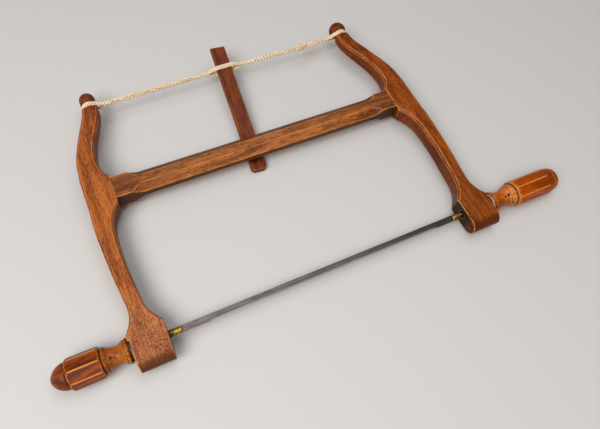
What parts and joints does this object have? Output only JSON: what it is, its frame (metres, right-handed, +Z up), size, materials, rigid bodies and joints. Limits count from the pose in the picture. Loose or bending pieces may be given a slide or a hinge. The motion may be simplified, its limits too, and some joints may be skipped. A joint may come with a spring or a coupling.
{
  "type": "bow saw",
  "caption": "Wooden bow saw lying flat: H-shaped frame, narrow toothed blade strung between turned handles, tensioned by a twisted string and a stick toggle.",
  "frame": {"origin": "bottom centre of the saw's box as it lies on a table, resting on both handles and on the tip of the toggle", "axes": "+X along the blade from the short handle to the long handle, +Y from the blade towards the twisted string, +Z up, near square to the frame"},
  "size_m": [0.5326, 0.3236, 0.0326],
  "materials": {
    "bar_wood": "old waxed beech, satin",
    "left_cheek_wood": "old waxed beech, satin",
    "right_cheek_wood": "old waxed beech, satin",
    "toggle_wood": "dark worn wood, satin",
    "left_handle_wood": "turned and polished wood",
    "right_handle_wood": "turned and polished wood",
    "string": "twisted hemp string, matt",
    "blade_steel": "dark aged steel",
    "stem_brass": "tarnished brass",
    "pin_steel": "dull steel",
    "washer_metal": "dark grey-green aged metal"
  },
  "bodies": {
    "stretcher": {"stretcher": "bar_wood", "cord_knot": "string"},
    "left_cheek": {"left_cheek": "left_cheek_wood", "left_cord_loop": "string"},
    "right_cheek": {"right_cheek": "right_cheek_wood", "right_cord_loop": "string"},
    "blade_line": {"blade": "blade_steel", "left_stem": "stem_brass", "right_stem": "stem_brass", "left_blade_pin": "pin_steel", "right_blade_pin": "pin_steel", "left_washer": "washer_metal", "right_washer": "washer_metal", "left_handle": "left_handle_wood", "right_handle": "right_handle_wood", "left_handle_peg": "pin_steel", "right_handle_peg": "pin_steel"},
    "windlass": {"left_cord_twist": "string", "right_cord_twist": "string", "cord_strand_front": "string", "cord_strand_back": "string"},
    "toggle": {"toggle": "toggle_wood"}
  },
  "joints": [
    {"name": "left_cheek_rock", "type": "hinge", "parent": "stretcher", "child": "left_cheek", "pos_m": [-0.17025, 0.00487, 0.01843], "axis": [0, -0.0286, 0.9996], "range_deg": [0, 1.3]},
    {"name": "right_cheek_rock", "type": "hinge", "parent": "stretcher", "child": "right_cheek", "pos_m": [0.14575, 0.00487, 0.01843], "axis": [0, 0.0286, -0.9996], "range_deg": [0, 1.3]},
    {"name": "blade_turn", "type": "hinge", "parent": "stretcher", "child": "blade_line", "pos_m": [-0.01225, -0.13952, 0.0143], "axis": [1, 0, 0], "continuous": true},
    {"name": "toggle_wind", "type": "hinge", "parent": "stretcher", "child": "windlass", "pos_m": [-0.01225, 0.13162, 0.02206], "axis": [0.9998, 0.0178, 0.0005], "range_deg": [0, 346.5]},
    {"name": "toggle_slide", "type": "slide", "parent": "windlass", "child": "toggle", "axis": [0.0906, 0.9863, 0.1379], "range_m": [-0.03, 0.045]}
  ]
}
